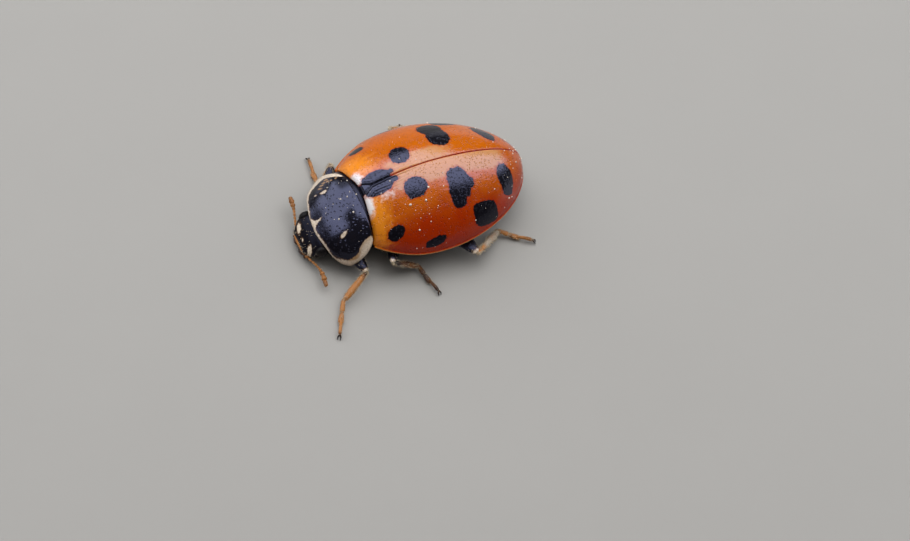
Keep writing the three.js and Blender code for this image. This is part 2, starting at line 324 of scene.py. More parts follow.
def ramp(value, low, high, bottom=0.0, top=1.0):
    inputs = {"Value": value, "From Min": low, "From Max": high, "To Min": bottom, "To Max": top}
    node = addNode(value.id_data, "ShaderNodeMapRange", inputs, interpolation_type="SMOOTHSTEP")
    return node.outputs["Result"]


def mixColour(share, first, second):
    first, second = (c if isinstance(c, bpy.types.NodeSocket) else (*c, 1) for c in (first, second))
    node = addNode(share.id_data, "ShaderNodeMix", {0: share, 6: first, 7: second}, data_type="RGBA")
    return node.outputs[2]


# Small round pits, sunk into the surface: 1 on the level and 0 at the bottom of a pit.
def pits(place, perMm, radius):
    return ramp(cells(place, perMm, 0.8), radius * 0.35, radius)


def bump(height, depth, under=None):
    inputs = {"Height": height, "Distance": depth * mm, "Strength": 1.0}
    if under is not None:
        inputs["Normal"] = under
    return addNode(height.id_data, "ShaderNodeBump", inputs).outputs["Normal"]


def objectPlace(tree):
    place = addNode(tree, "ShaderNodeTexCoord").outputs["Object"]
    return addNode(tree, "ShaderNodeVectorMath", {0: place, 3: 1 / mm}, operation="SCALE").outputs[0]


skyTint = (0.62, 0.64, 1, 1)  # what black horn gives back of a white sky
wingLooks = {
    "orange": (0.56, 0.118, 0.0005),
    # a painted sheen: a pinker, paler tone along the top beside the seam
    "paintedSheen": (0.60, 0.26, 0.09),
    "deepOrange": (0.36, 0.024, 0.0005),
    "glow": (0.86, 0.26, 0.012),
    "pale": (0.93, 0.83, 0.77),
    "spot": (0.006, 0.005, 0.007),
    "seam": (0.34, 0.015, 0.002),
    # rim: a paler line along the bead, a painted highlight
    "rim": (0.62, 0.28, 0.08),
    "edgeWander": 0.036,  # mm that the spots' edges wander
    "halo": 0.05,
    "pitsPerMm": 22, "pitRadius": 0.34, "pitDepth": 0.011, "creasesPerMm": 13.0, "creaseDepth": 0.0048,
    "grainDepth": 0.0012,
    "sheen": (0.5, 0.1),  # specular level on the crown and on the dull flanks
}


def wingMaterial():
    material, tree = newMaterial("polishedOrangeCase", IOR=1.85, Specular_Tint=skyTint)
    place = attribute(tree, "place", vector=True)
    broad = noise(place, 1.6, 2)
    fine = noise(place, 11)
    # The red deepens down the flanks, fully on the left case and faintly on the right: partly the case's own
    # deeper red, partly painted shade. It also deepens towards the tip.
    deep = math2("ADD", attribute(tree, "low"), ramp(broad, 0.35, 0.75, -0.1, 0.2))
    colour = mixColour(ramp(deep, 0.0, 1.05), wingLooks["orange"], wingLooks["deepOrange"])
    # how far each tone's edge is blurred, and from where to where it comes
    tones = {"paintedSheen": (0.1, 0.1, 0.9), "glow": (0.12, -0.05, 0.85), "pale": (0.14, 0.15, 0.85)}
    for tone, (blur, low, high) in tones.items():
        share = math2("ADD", attribute(tree, tone), ramp(fine, 0.3, 0.7, -blur, blur))
        colour = mixColour(ramp(share, low, high), colour, wingLooks[tone])
    colour = mixColour(ramp(attribute(tree, "seam"), 0.2, 0.8), colour, wingLooks["seam"])
    # A paler line along the outer edge of the bead: a painted highlight.
    colour = mixColour(attribute(tree, "rim"), colour, wingLooks["rim"])
    wander = ramp(noise(place, 11, 5, 0.65), 0.25, 0.75, -1, 1)
    wander = math2("MULTIPLY", wander, wingLooks["edgeWander"] / 2)
    edge = math2("ADD", wander, attribute(tree, "spot"))
    colour = mixColour(ramp(edge, wingLooks["halo"], 0.0, 0.0, 0.45), colour, wingLooks["deepOrange"])
    colour = mixColour(ramp(edge, 0.008, -0.008), colour, wingLooks["spot"])
    pitted = pits(place, wingLooks["pitsPerMm"], wingLooks["pitRadius"])
    grain = noise(place, 45, 4, 0.6)
    creased = noise(place, wingLooks["creasesPerMm"], 3, 0.5, 1.2)
    level = bump(creased, wingLooks["creaseDepth"], bump(grain, wingLooks["grainDepth"]))
    return feed(
        material, Base_Color=colour, Normal=bump(pitted, wingLooks["pitDepth"], level),
        Roughness=ramp(math2("MULTIPLY", pitted, grain), 0.1, 0.6, 0.18, 0.09),
        Specular_IOR_Level=ramp(attribute(tree, "dull"), 0, 1, *wingLooks["sheen"]),
    )


blackLooks = {
    "black": (0.006, 0.005, 0.007),
    "brown": (0.020, 0.010, 0.006),
    "cream": (0.78, 0.63, 0.47),
    "dullCream": (0.56, 0.43, 0.31),
    "tan": (0.36, 0.19, 0.065),
    "margin": (0.10, 0.05, 0.025),
    "pitRadius": 0.33, "grainDepth": 0.0009,
    "sheen": (0.5, 0.15),
}


# Black shell with cream marks where the distance "cream" is below zero.
def blackMaterial(name, pitsPerMm, pitDepth, roughness, gloss=1.85):
    material, tree = newMaterial(name, IOR=gloss, Specular_Tint=skyTint)
    place = objectPlace(tree)
    fine = noise(place, 9, 4)
    colour = mixColour(ramp(fine, 0.5, 0.85, 0, 0.35), blackLooks["black"], blackLooks["brown"])
    wander = ramp(noise(place, 22, 3), 0.25, 0.75, -0.007, 0.007)
    edge = math2("ADD", attribute(tree, "cream"), wander)
    stain = ramp(noise(place, 30, 4), 0.42, 0.72)
    creamTone = mixColour(stain, blackLooks["cream"], blackLooks["dullCream"])
    creamTone = mixColour(attribute(tree, "tan"), creamTone, blackLooks["tan"])
    colour = mixColour(ramp(edge, 0.014, 0.0), colour, blackLooks["margin"])
    colour = mixColour(ramp(edge, 0.005, -0.008), colour, creamTone)
    pitted = pits(place, pitsPerMm, blackLooks["pitRadius"])
    grain = noise(place, 50, 4, 0.6)
    return feed(
        material, Base_Color=colour, Roughness=ramp(grain, 0.3, 0.7, roughness, roughness + 0.1),
        Normal=bump(pitted, pitDepth, bump(grain, blackLooks["grainDepth"])),
        Specular_IOR_Level=ramp(attribute(tree, "dull"), 0, 1, *blackLooks["sheen"]),
    )


limbLooks = {
    "pale": (0.40, 0.32, 0.24), "amber": (0.41, 0.155, 0.032), "dark": (0.06, 0.020, 0.006),
    "black": (0.008, 0.007, 0.008),
    "scalesPerMm": 28.0, "scaleDepth": 0.006, "grainDepth": 0.002, "roughness": (0.3, 0.48),
}


# Brown limbs: the value "dark" turns amber to dark brown and then to black, and below zero to a pale brown,
# which on the hind shins is partly a painted highlight.
def limbMaterial():
    material, tree = newMaterial("amberLimb", IOR=1.45)
    place = objectPlace(tree)
    broad = ramp(noise(place, 7, 4), 0.25, 0.75, -0.16, 0.16)
    dark = math2("ADD", attribute(tree, "dark"), broad)
    colour = limbLooks["amber"]
    for tone, low, high in (("pale", -0.15, -0.6), ("dark", 0.1, 0.6), ("black", 0.6, 0.95)):
        colour = mixColour(ramp(dark, low, high), colour, limbLooks[tone])
    scaly = cells(place, limbLooks["scalesPerMm"])
    grain = noise(place, 60, 4)
    return feed(
        material, Base_Color=colour, Roughness=ramp(grain, 0.3, 0.7, *limbLooks["roughness"]),
        Normal=bump(scaly, limbLooks["scaleDepth"], bump(grain, limbLooks["grainDepth"])),
    )


eyeLooks = {
    "black": (0.004, 0.004, 0.005), "brown": (0.011, 0.008, 0.007),
    "facetsPerMm": 42.0, "facetDepth": 0.002,
}


def eyeMaterial():
    material, tree = newMaterial("facetedEye", IOR=1.25)
    place = objectPlace(tree)
    height = ramp(cells(place, eyeLooks["facetsPerMm"], 0.25), 0.15, 0.62, 1, 0)
    colour = mixColour(noise(place, 14), eyeLooks["black"], eyeLooks["brown"])
    return feed(
        material, Base_Color=colour, Roughness=ramp(height, 0, 1, 0.3, 0.18),
        Normal=bump(height, eyeLooks["facetDepth"]),
    )


coatLooks = {
    "bristle": ((0.72, 0.60, 0.42), (0.48, 0.34, 0.20)), "dust": ((0.96, 0.87, 0.76), (0.74, 0.58, 0.43)),
    "grainDepth": 0.003,
}


def bristleMaterial():
    material, tree = newMaterial("paleBristle", Roughness=0.38)
    tone = ramp(noise(objectPlace(tree), 12), 0.3, 0.7)
    return feed(material, Base_Color=mixColour(tone, *coatLooks["bristle"]))


def dustMaterial():
    material, tree = newMaterial("paleDust", Roughness=0.75)
    place = objectPlace(tree)
    colour = mixColour(noise(place, 20), *coatLooks["dust"])
    return feed(material, Base_Color=colour, Normal=bump(noise(place, 160), coatLooks["grainDepth"]))


wingFinish = wingMaterial()
shieldFinish = blackMaterial("polishedBlackShield", 13, 0.006, 0.1)
headFinish = blackMaterial("smoothBlackHead", 20, 0.0015, 0.25, gloss=1.45)
bellyFinish = blackMaterial("pittedBlackPlate", 18, 0.004, 0.24, gloss=1.55)
limbFinish = limbMaterial()
eyeFinish = eyeMaterial()
bristleFinish = bristleMaterial()
dustFinish = dustMaterial()
print("materials made")

# ---- wing cases
shell = {
    "length": 3.69, "halfWidth": 1.487, "height": 1.108,
    # where it is most, its share at the base, and the powers of its curve in front, behind and at the tip
    "widthCurve": (0.384, 0.643, 2.6, 1.8, 1.9), "heightCurve": (0.402, 0.632, 2, 1.88, 2),
    "arch": 1.5, "fullness": 0.625, "crown": 0.1, "start": 0.02, "tip": 0.9985,
    "frontRound": 0.06, "callus": 0.016, "rows": 210, "columns": 130,
    "bead": 0.026, "fold": 0.24, "wall": 0.05,
    "seamGap": 0.004, "seamDip": 0.014, "seamRidge": 0.009, "seamGroove": 0.008, "pleats": 0.0035,
}
scutellum = {"length": 0.2, "halfWidth": 0.13, "gap": 0.009, "thickness": 0.12, "rows": 24, "columns": 21}
# Each spot is one or more blobs: across and along the case, half width, half length, turn.
spots = {
    "left": [
        (0.06, 0.31, 0.24, 0.31, 0), (0.10, 0.60, 0.07, 0.10, 0),
        (0.44, 0.97, 0.21, 0.235, -12), (0.58, 0.86, 0.08, 0.08, 0),
        (0.57, 1.88, 0.29, 0.24, 8, 2.6), (0.64, 2.10, 0.13, 0.10, 0), (0.90, 1.80, 0.22, 0.17, -8),
        (0.80, 1.99, 0.12, 0.10, 0), (0.76, 1.69, 0.13, 0.08, 0),
        (0.62, 2.99, 0.28, 0.19, 4), (0.90, 2.98, 0.12, 0.13, 0),
        (1.345, 2.35, 0.275, 0.30, 8, 3.4),
        (1.67, 1.15, 0.11, 0.23, 6),
        (1.17, 0.385, 0.165, 0.165, 0, 2.0),
    ],
    "right": [
        (0.06, 0.31, 0.22, 0.29, 0), (0.10, 0.58, 0.07, 0.10, 0),
        (0.40, 0.95, 0.23, 0.20, 18),
        (0.60, 1.90, 0.31, 0.24, 6), (0.98, 1.88, 0.25, 0.25, -10),
        (0.55, 2.95, 0.33, 0.15, -24),
        (1.35, 2.35, 0.27, 0.28, 8, 3.0),
        (1.67, 1.18, 0.11, 0.21, 6),
        (1.24, 0.39, 0.14, 0.14, 0),
    ],
}
# Tones on either case. Pale, streak and glow are ovals: the middle and the reach, across and along. Sheen, a
# painted sheen along the top: from where to where it comes across, and goes along. Dull: where the polish
# fades down the flank.
# Low: how strongly the red deepens down the flank, partly painted shade, full on the left and faint on the
# right.
zones = {
    "left": {
        "pale": (0.36, -0.01, 0.33, 0.16), "streak": (0.37, 0.40, 0.2, 0.42), "glow": (0.70, 0, 0.95, 0.42),
        "paintedSheen": (0.54, 0.3, 3.3, 2.8), "low": 1, "dull": (0.8, 1.3), "dullShoulder": 0,
        "shoulder": 0.011, "grains": 160,
    },
    "right": {
        "pale": (0.27, -0.01, 0.25, 0.17), "glow": (0.58, 0, 0.58, 0.58),
        "paintedSheen": (0.46, 0.24, 2.3, 1.5), "low": 0.12, "dull": (0.58, 0.95), "dullShoulder": 0.8,
        "shoulder": 0.055, "grains": 90,
    },
}


def curveAlong(y, peak, base, front, hind, tip):
    t = np.asarray(y, float) / shell["length"]
    before = np.clip(1 - t / peak, 0, 1)
    behind = np.clip((t - peak) / (1 - peak), 0, 1)
    rise = base + (1 - base) * (1 - before ** front)
    return np.where(t < peak, rise, (1 - behind ** hind) ** (1 / tip))


def shellWidth(y):
    return shell["halfWidth"] * curveAlong(y, *shell["widthCurve"])


def shellRidge(y):
    return shell["height"] * curveAlong(y, *shell["heightCurve"])


def shellTop(x, y):
    u = np.clip(np.abs(x) / np.maximum(shellWidth(y), 1e-6), 0, 1)
    c = shell["crown"]
    rounded = (np.hypot(u, c) - c) / (np.hypot(1, c) - c)
    return shellRidge(y) * np.clip(1 - rounded ** shell["arch"], 0, 1) ** shell["fullness"]


# The share of the half width at which the dome has come down to the rim's bead.
def rimShare(ridge):
    c = shell["crown"]
    rounded = (1 - np.minimum(shell["bead"] / ridge, 0.8) ** (1 / shell["fullness"])) ** (1 / shell["arch"])
    reach = rounded * (np.hypot(1, c) - c) + c
    return np.sqrt(reach ** 2 - c ** 2)


# What stands off the plain dome: a callus near the shoulder, a ridge and grooves beside the seam, pleats in
# the spot at the seam, and the rounded front edge.
def caseRelief(x, fromSeam, y):
    fade = float(smoothStep(1.5, 0.7, y))
    relief = shell["callus"] * swell(x, 0.93, 0.13) * swell(y, 0.42, 0.2)
    relief = relief + groove(fromSeam, 0, 0.013, shell["seamDip"])
    relief = relief + fade * groove(fromSeam, 0.036, 0.013, -shell["seamRidge"])
    relief = relief + fade * groove(fromSeam, 0.066, 0.016, shell["seamGroove"])
    wave = fade * np.sin(fromSeam * 110 + 1.5 * math.sin(7 * y))
    relief = relief + wave * groove(fromSeam, 0.17, 0.07, shell["pleats"])
    front = 1 - math.sqrt(1 - max(1 - (y - shell["start"]) / 0.08, 0) ** 2)
    return relief - shell["frontRound"] * front * np.clip(shellTop(x, y) / 0.2, 0, 1)


def wingCase(side, name):
    zone = zones[name]
    t = np.linspace(0, 1, shell["rows"]) ** 1.2
    ys = shell["start"] + (shell["length"] * shell["tip"] - shell["start"]) * np.sin(math.pi / 2 * t)
    c = np.sin(math.pi / 2 * np.linspace(0, 1, shell["columns"]) ** 1.25)
    beadTurn = np.radians(np.linspace(70, -115, 9))
    beadKind = 3 + 2 * (np.abs(np.degrees(beadTurn) + 15) > 40)  # 3 on the rim's lit line, 5 beside it
    inward = np.linspace(0, 1, 9)[1:]
    rings, across, fromSeam = [], [], []
    for y in ys:
        width, ridge = float(shellWidth(y)), float(shellRidge(y))
        bead, fold = min(shell["bead"], width * 0.3), min(shell["fold"], width * 0.35)
        besidePlate = scutellum["halfWidth"] * (1 - y / scutellum["length"]) + scutellum["gap"]
        start = min(max(shell["seamGap"], besidePlate), width * 0.5)
        x = start + ((width - bead) * float(rimShare(ridge)) - start) * c
        z = shellTop(x * width / (width - bead), y) + caseRelief(x, x - start, y)
        beadX = width - bead + bead * np.cos(beadTurn)
        beadZ = bead * np.sin(beadTurn)
        foldX = beadX[-1] - fold * inward
        foldZ = beadZ[-1] + 0.02 * np.sin(math.pi * inward)
        innerX = foldX[-1] + (start - foldX[-1]) * np.linspace(0, 1, len(x) - len(inward) + 1)[1:]
        innerZ = np.maximum(shellTop(innerX, y) * 0.93 - shell["wall"], beadZ[-1] + 0.004)
        ringX = np.concatenate([x, beadX, foldX, innerX, [start]])
        ringZ = np.concatenate([z, beadZ, foldZ, innerZ, [z[0] - 0.02]])
        walk = np.concatenate([[0], np.cumsum(np.hypot(np.diff(ringX), np.diff(ringZ)))]) + start
        walk[-3:] = start
        reach = zone["shoulder"] * smoothStep(0.15, 0.5, ringX) * max(1 - y / 0.5, 0)
        reach = reach + 0.03 * max(1 - y / 0.4, 0)
        rings.append(np.stack([ringX * side, y - reach, ringZ], 1))
        across.append(walk)
        fromSeam.append(np.concatenate([x - start, beadKind, np.ones(len(ringX) - len(x) - len(beadKind))]))
    rings, across, fromSeam = (np.array(a)[:, ::side] for a in (rings, across, fromSeam))
    along, height = rings[:, :, 1], rings[:, :, 2]

    pale = 1.2 - ovalShare(across, along, zone["pale"])
    if "streak" in zone:  # a paler streak beside the spot at the seam
        pale = np.maximum(pale, 0.5 - 0.5 * ovalShare(across, along, zone["streak"]))
    inner, outer, last, first = zone["paintedSheen"]
    # The sheen tone is a painted sheen along the top of the dome beside the seam.
    paintedSheen = smoothStep(inner, outer, across) * smoothStep(0.35, 0.8, along) * smoothStep(last, first, along)
    dull = np.maximum(smoothStep(*zone["dull"], across),
                      0.9 * smoothStep(0.12, 0.4, across) * smoothStep(2.95, 3.3, along))
    dullShoulder = zone["dullShoulder"] * smoothStep(0.4, 0.7, across) * smoothStep(0.6, 0.2, along)
    values = {
        "spot": spotDistance(across, along, spots[name]), "pale": pale, "paintedSheen": paintedSheen,
        "glow": 1.15 - ovalShare(across, along, zone["glow"]),
        # low: deeper red down the flank, partly painted shade, and towards the tip
        "low": smoothStep(0.25, 1.5, across) * zone["low"] + 0.45 * smoothStep(2.7, 3.5, along),
        # rim: the painted highlight line along the bead
        "seam": swell(fromSeam, 0, 0.012), "rim": swell(fromSeam, 3, 0.5),
        "dull": np.maximum(dull, dullShoulder),
    }
    place = np.stack([across * side, along, np.where(height < 0, 0.5, 0.0)], -1).reshape(-1, 3)
    return loftShape(rings, cap="zip", place=place, **{key: value.ravel() for key, value in values.items()})


def onTop(p):
    return p[:, 2] > 0.6 * shellTop(p[:, 0], p[:, 1]) + 0.02


# A drift of dust on the left case, thinner towards its edge.
drift = {"oval": (0.82, 0.95, 0.34, 0.42), "grains": 260}


def inDrift(p):
    return onTop(p) & (ovalShare(p[:, 0], p[:, 1], drift["oval"]) < rng.uniform(0.3, 1.5, len(p)))


for side, name in sides:
    case = wingCase(side, name)
    makePiece(f"wingCase_{name}", case, wingFinish, [f"elytron_{name}"])
    strewDust(case, zones[name]["grains"], 0.005, 0.019, onTop)
    if side > 0:
        strewDust(case, drift["grains"], 0.009, 0.028, inDrift)


def scutellumPlate():
    rings = []
    for y in np.linspace(-0.018, scutellum["length"] * 0.97, scutellum["rows"]):
        half = scutellum["halfWidth"] * (1 - y / scutellum["length"]) + 0.001
        x = np.linspace(-half, half, scutellum["columns"])
        level = shellTop(x, y)
        top = level - 0.012 * (x / half) ** 2 - 0.05 * max(1 - y / 0.05, 0) ** 2
        rings.append(flatRing(x, y, top, level - scutellum["thickness"]))
    return slabShape(rings)


makePiece("scutellumPlate", scutellumPlate(), shieldFinish, ["scutellum"])
print("wing cases made")

# ---- pronotum
shield = {
    "halfWidth": 1.13, "length": 0.97, "hindGap": 0.05, "ridge": 0.652, "frontRidge": 0.035,
    "hindEdge": 0.297, "sideEdge": -0.253, "frontEdge": 0.01, "foreStart": 0.6,
    "shift": 0.114, "turn": -2, "roll": 2, "thickness": 0.035, "overhang": 0.008,
    "bead": 0.01, "gutter": 0.008, "hindRound": 0.04,
    "farCorner": 0.12, "nearLift": 0.05, "lip": 0.05, "nearCut": 0.06, "rows": 150, "columns": 170,
    # the edge of the black disc, seen from above, down either side to the cream tooth in front
    "discRight": [
        (-0.62, 0.1), (-0.66, -0.11), (-0.80, -0.34), (-0.845, -0.47), (-0.785, -0.685), (-0.68, -0.81),
        (-0.52, -0.90), (-0.20, -0.96), (-0.085, -0.945), (-0.015, -0.90),
    ],
    "tooth": (-0.03, -0.83),
    "discLeft": [
        (0.017, -0.872), (0.047, -0.918), (0.16, -0.955), (0.44, -0.925), (0.70, -0.84), (0.845, -0.71),
        (0.95, -0.54), (0.965, -0.38), (0.905, -0.34), (0.80, -0.215), (0.71, 0.1),
    ],
    "discSpots": [
        (0.53, -0.585, 0.036, 0.068, 23), (-0.512, -0.618, 0.036, 0.062, 0),
        (-0.555, -0.755, 0.016, 0.02, 0),
    ],
    "specks": [
        (-0.65, -0.63, 0.02, 0.035, -30), (-0.70, -0.565, 0.018, 0.03, -30),
        (-0.735, -0.50, 0.022, 0.035, -20), (-0.71, -0.43, 0.02, 0.03, 0), (-0.775, -0.42, 0.02, 0.04, -10),
        (-0.685, -0.355, 0.018, 0.03, 10), (-0.68, -0.24, 0.015, 0.03, 10),
    ],
}


def shieldWidth(y):
    back = np.maximum(1 + y / 0.5, 0)
    front = np.clip(1 - (np.abs(y) / shield["length"]) ** 1.8, 0, 1) ** (1 / 3)
    return shield["halfWidth"] * front * (1 - 0.334 * back ** 2)


def shieldEdge(y):
    side, foreStart = shield["sideEdge"], shield["foreStart"]
    hind = (shield["hindEdge"] - side) * np.maximum(1 + y / 0.55, 0) ** 1.7
    forward = np.maximum(-y - foreStart, 0) / (shield["length"] - foreStart)
    return side + hind + (shield["frontEdge"] - side) * forward ** 2


def shieldTop(x, y):
    fall = np.clip(1 - (np.abs(y) / shield["length"]) ** 1.74, 0, 1)
    ridge = shield["frontRidge"] + (shield["ridge"] - shield["frontRidge"]) * fall
    u = np.clip(np.abs(x) / np.maximum(shieldWidth(y), 1e-6), 0, 1)
    return shieldEdge(y) + (ridge - shieldEdge(y)) * (1 - u ** 2.2) ** 0.6


# The front of the body is rolled and turned a little, and set to the left.
def placeForebody(points):
    a, b = math.radians(shield["roll"]), math.radians(shield["turn"])
    roll = np.array([[math.cos(a), 0, math.sin(a)], [0, 1, 0], [-math.sin(a), 0, math.cos(a)]])
    turn = np.array([[math.cos(b), -math.sin(b), 0], [math.sin(b), math.cos(b), 0], [0, 0, 1]])
    return points @ (roll @ turn).T + np.array([shield["shift"], 0, 0])


def outlineDistance(x, y, stations=420, batch=4000):
    ys = -0.02 - (shield["length"] * 0.9995 - 0.02) * np.sin(np.linspace(0, math.pi / 2, stations))
    ws = shieldWidth(ys)
    line = np.concatenate([np.stack([ws, ys], 1), np.stack([-ws, ys], 1)])
    places = np.stack([x.ravel(), y.ravel()], 1)
    nearest = []
    for start in range(0, len(places), batch):
        away = places[start:start + batch, None] - line[None]
        nearest.append(np.sqrt((away ** 2).sum(2).min(1)))
    return np.concatenate(nearest).reshape(x.shape)


def pronotumShield():
    t = np.linspace(0, 1, shield["rows"])
    hindGap = shield["hindGap"]
    ys = -hindGap - (shield["length"] * 0.9993 - hindGap) * np.sin(math.pi / 2 * t ** 1.1)
    s = spread(shield["columns"])
    y = np.repeat(ys[:, None], len(s), 1)
    width = shieldWidth(ys)[:, None]
    x = width * s[None]
    fromEdge = outlineDistance(x, y)
    fromHind = -hindGap - y
    z = shieldTop(x, y)
    rim = smoothStep(-0.88, -0.62, y)
    bead = (0.002 + shield["bead"] * rim) * swell(fromEdge, 0.012, 0.014)
    z += bead - shield["gutter"] * rim * swell(fromEdge, 0.055, 0.02)
    z -= shield["hindRound"] * (1 - np.sqrt(1 - np.clip(1 - fromHind / 0.05, 0, 1) ** 2))
    lip = shield["lip"] * swell(x, 0.05, 0.4) * smoothStep(-0.86, -0.97, y)
    lift = shield["nearLift"] * smoothStep(0.55, 1.05, x) * smoothStep(-0.25, -0.5, y) - lip
    z += lift
    under = shieldEdge(y) + (shieldTop(x, y) - shieldEdge(y)) * 0.9 - shield["thickness"] + lift

    specks = spotDistance(x, y, shield["specks"], 0.01)
    steps = np.linspace(0, 1, 60)
    discRight, discLeft = (smoothLine(shield[key], steps) for key in ("discRight", "discLeft"))
    disc = [*discRight, shield["tooth"], *discLeft]
    cream = np.minimum(insideDistance(x, y, disc), spotDistance(x, y, shield["discSpots"]))
    cream = np.minimum(cream, specks)
    dull = smoothStep(0.2, 0.06, fromEdge) * smoothStep(-0.98, -0.8, y)  # the polish fades towards the rim
    dull = np.maximum(dull, smoothStep(-0.25, -0.45, x) * smoothStep(-0.4, -0.25, y))
    fore = smoothStep(-0.28, -0.44, y)
    # Amber on the near side of the rim, stopping short of the edge, so that a paler outer line stands there
    # as a painted highlight on the bead.
    amber = smoothStep(-0.08 - 0.04 * fore, -0.01 - 0.04 * fore, cream) * smoothStep(0.004, 0.024, fromEdge)
    amber = amber * smoothStep(0.5, 0.72, x) * (0.5 + 0.45 * fore)
    tan = np.maximum(smoothStep(0.02, -0.01, specks), amber)

    # seen from above, the far hind corner lies further forward and the near one is cut back
    lag = shield["farCorner"] * np.clip((0.8 - x) / 1.6, 0, 1) * np.clip(1 - fromHind / 0.6, 0, 1)
    y = y - lag - lip
    nearCut = shield["nearCut"] * swell(y, -0.33, 0.17)
    x = x - nearCut * smoothStep(0.6, 1.05, x)
    edgeX = width + shield["overhang"]
    edgeZ = (z[:, :1] + under[:, :1]) / 2
    left = np.stack([-edgeX, y[:, :1], edgeZ], -1)
    right = np.stack([edgeX - nearCut[:, -1:], y[:, -1:], edgeZ], -1)
    rings = np.concatenate([np.stack([x, y, z], -1), right, np.stack([x, y, under], -1)[:, ::-1], left], 1)
    # each value on the top, at the edge and underneath
    values = {"cream": (cream, -0.1, -0.05), "tan": (tan, 0, 0), "dull": (dull, 1, 1)}
    for key, (top, edge, underside) in values.items():
        sideways = np.full((len(ys), 1), edge)
        ring = np.concatenate([top, sideways, np.full_like(top, underside), sideways], 1)
        values[key] = ring[:, ::-1].ravel()
    return loftShape(placeForebody(rings)[:, ::-1], cap="zip", **values)


shieldSlab = pronotumShield()
makePiece("pronotumShield", shieldSlab, shieldFinish, ["pronotum"])
strewDust(shieldSlab, 60, 0.006, 0.02, lambda p: p[:, 2] > 0.25)
print("pronotum made")

# ---- underside
trunk = {
    "depth": 0.3, "sideLevel": -0.14, "widthShare": 0.9,
    "start": 0.05, "waist": 1.64, "taper": 2.2, "end": 3.5, "folds": [1.98, 2.32, 2.64, 2.94, 3.22],
}


def bow(s):
    return np.sqrt(np.clip(1 - s ** 2, 0, 1))


def trunkShape(start, end, reach, relief, marks, rows=90, columns=120):
    rings, creams = [], []
    s = spread(columns)
    for y in np.linspace(start, end, rows):
        back = max((y - trunk["taper"]) / (trunk["end"] - trunk["taper"]), 0)
        width = float(shellWidth(y)) * (trunk["widthShare"] - 0.2 * back ** 3)
        x = width * s
        under = trunk["sideLevel"] - trunk["depth"] * bow(s) * reach(y) - relief(x, y, width)
        rings.append(flatRing(x, y, shellTop(x, y) * 0.58 - 0.1, under + 0.11 * back ** 2.5))
        cream = marks(x, y, width)
        creams.append(np.r_[cream, cream[::-1]])
    return slabShape(np.array(rings)[:, ::-1], np.array(creams)[:, ::-1])


def thoraxRelief(x, y, width):
    relief = groove(x, 0, 0.012, 0.012) * smoothStep(0.7, 0.9, y)
    relief = relief + groove(y, 0.66 + 0.04 * np.cos(x * 3), 0.014, 0.02)
    relief = relief + groove(np.abs(x) / width, 0.72, 0.015, 0.016)
    return relief + 0.02 * swell(np.abs(x), 0.35, 0.2) * swell(y, 1.2, 0.25)


def thoraxMarks(x, y, width):
    side = np.abs(x) / width
    front = ovalShare(side, y, (0.9, 0.33, 1, 1.6)) - 0.11
    return np.minimum(front, ovalShare(side, y, (0.9, 0.88, 1, 1.8)) - 0.1)


def abdomenReach(y):
    back = (y - trunk["waist"]) / (trunk["end"] - trunk["waist"])
    return np.sqrt(np.clip(1 - 0.93 * back ** 2.2, 0, 1))


def abdomenRelief(x, y, width):
    relief = 0.0
    for fold in trunk["folds"]:
        line = fold + 0.05 * (np.abs(x) / width) ** 2
        step = 0.02 * smoothStep(line - 0.22, line, y) * (y < line)
        relief = relief + step + groove(y, line, 0.01, 0.012)
    return relief


# A dark collar closes the body between the pronotum and the base of the wing cases.
def collarShape(rows=16, columns=70):
    s = spread(columns)
    x = 0.88 * float(shellWidth(0.02)) * s
    top = 0.88 * shellTop(x, 0.02) - 0.05 - 0.06 * s ** 4
    rings = [flatRing(x, y, top, -0.1 - 0.26 * bow(s)) for y in np.linspace(-0.16, 0.12, rows)]
    return slabShape(np.array(rings)[:, ::-1])


thorax = trunkShape(trunk["start"], trunk["waist"], lambda y: 1.0, thoraxRelief, thoraxMarks)
makePiece("thoraxPlates", joinShapes([thorax, collarShape()]), bellyFinish, ["thorax"])
abdomen = trunkShape(
    trunk["waist"] + 0.01, trunk["end"], abdomenReach, abdomenRelief, lambda x, y, w: np.ones_like(x), 170,
)
makePiece("abdomenPlates", abdomen, bellyFinish, ["abdomen"])
for plates, count in ((thorax, 500), (abdomen, 900)):
    plantBristles(plates, count, 0.055, lean=0.9, keep=lambda p: p[:, 2] < -0.15)


def prothoraxShape(rows=60, columns=100):
    s = spread(columns)
    rings = []
    for t in np.linspace(0, 1, rows):
        y = -shield["hindGap"] - (0.72 - shield["hindGap"]) * math.sin(math.pi / 2 * t)
        x = float(shieldWidth(y)) * 0.8 * s
        edge = float(shieldEdge(y))
        top = edge + (shieldTop(x, y) - edge) * 0.62 - 0.08
        under = min(edge, -0.1) - 0.12 - 0.22 * bow(s) - groove(x, 0, 0.03, -0.01)
        rings.append(flatRing(x, y, top, under))
    return slabShape(placeForebody(np.array(rings)))


prothorax = prothoraxShape()
makePiece("prothoraxPlates", prothorax, bellyFinish, ["prothorax"])
plantBristles(prothorax, 220, 0.05, lean=-0.9, keep=lambda p: p[:, 2] < -0.2)
print("underside made")

# ---- head
head = {
    "place": (0.155, -0.735, -0.28),
    "sections": [  # along, lift, half width, half height
        (0.03, 0.0, 0.20, 0.10), (0.0, 0.0, 0.32, 0.16), (-0.1, -0.01, 0.44, 0.205),
        (-0.24, -0.04, 0.50, 0.23), (-0.38, -0.09, 0.45, 0.21), (-0.48, -0.14, 0.35, 0.15),
        (-0.535, -0.17, 0.27, 0.10), (-0.55, -0.18, 0.2, 0.05),
    ],
    "squareness": 2.3,
    "marks": [
        (0.33, -0.465, 0.10, 0.036, -12), (-0.23, -0.465, 0.11, 0.032, -21), (0.045, -0.504, 0.03, 0.010, 0),
    ],
}
headPlace = np.array(head["place"])


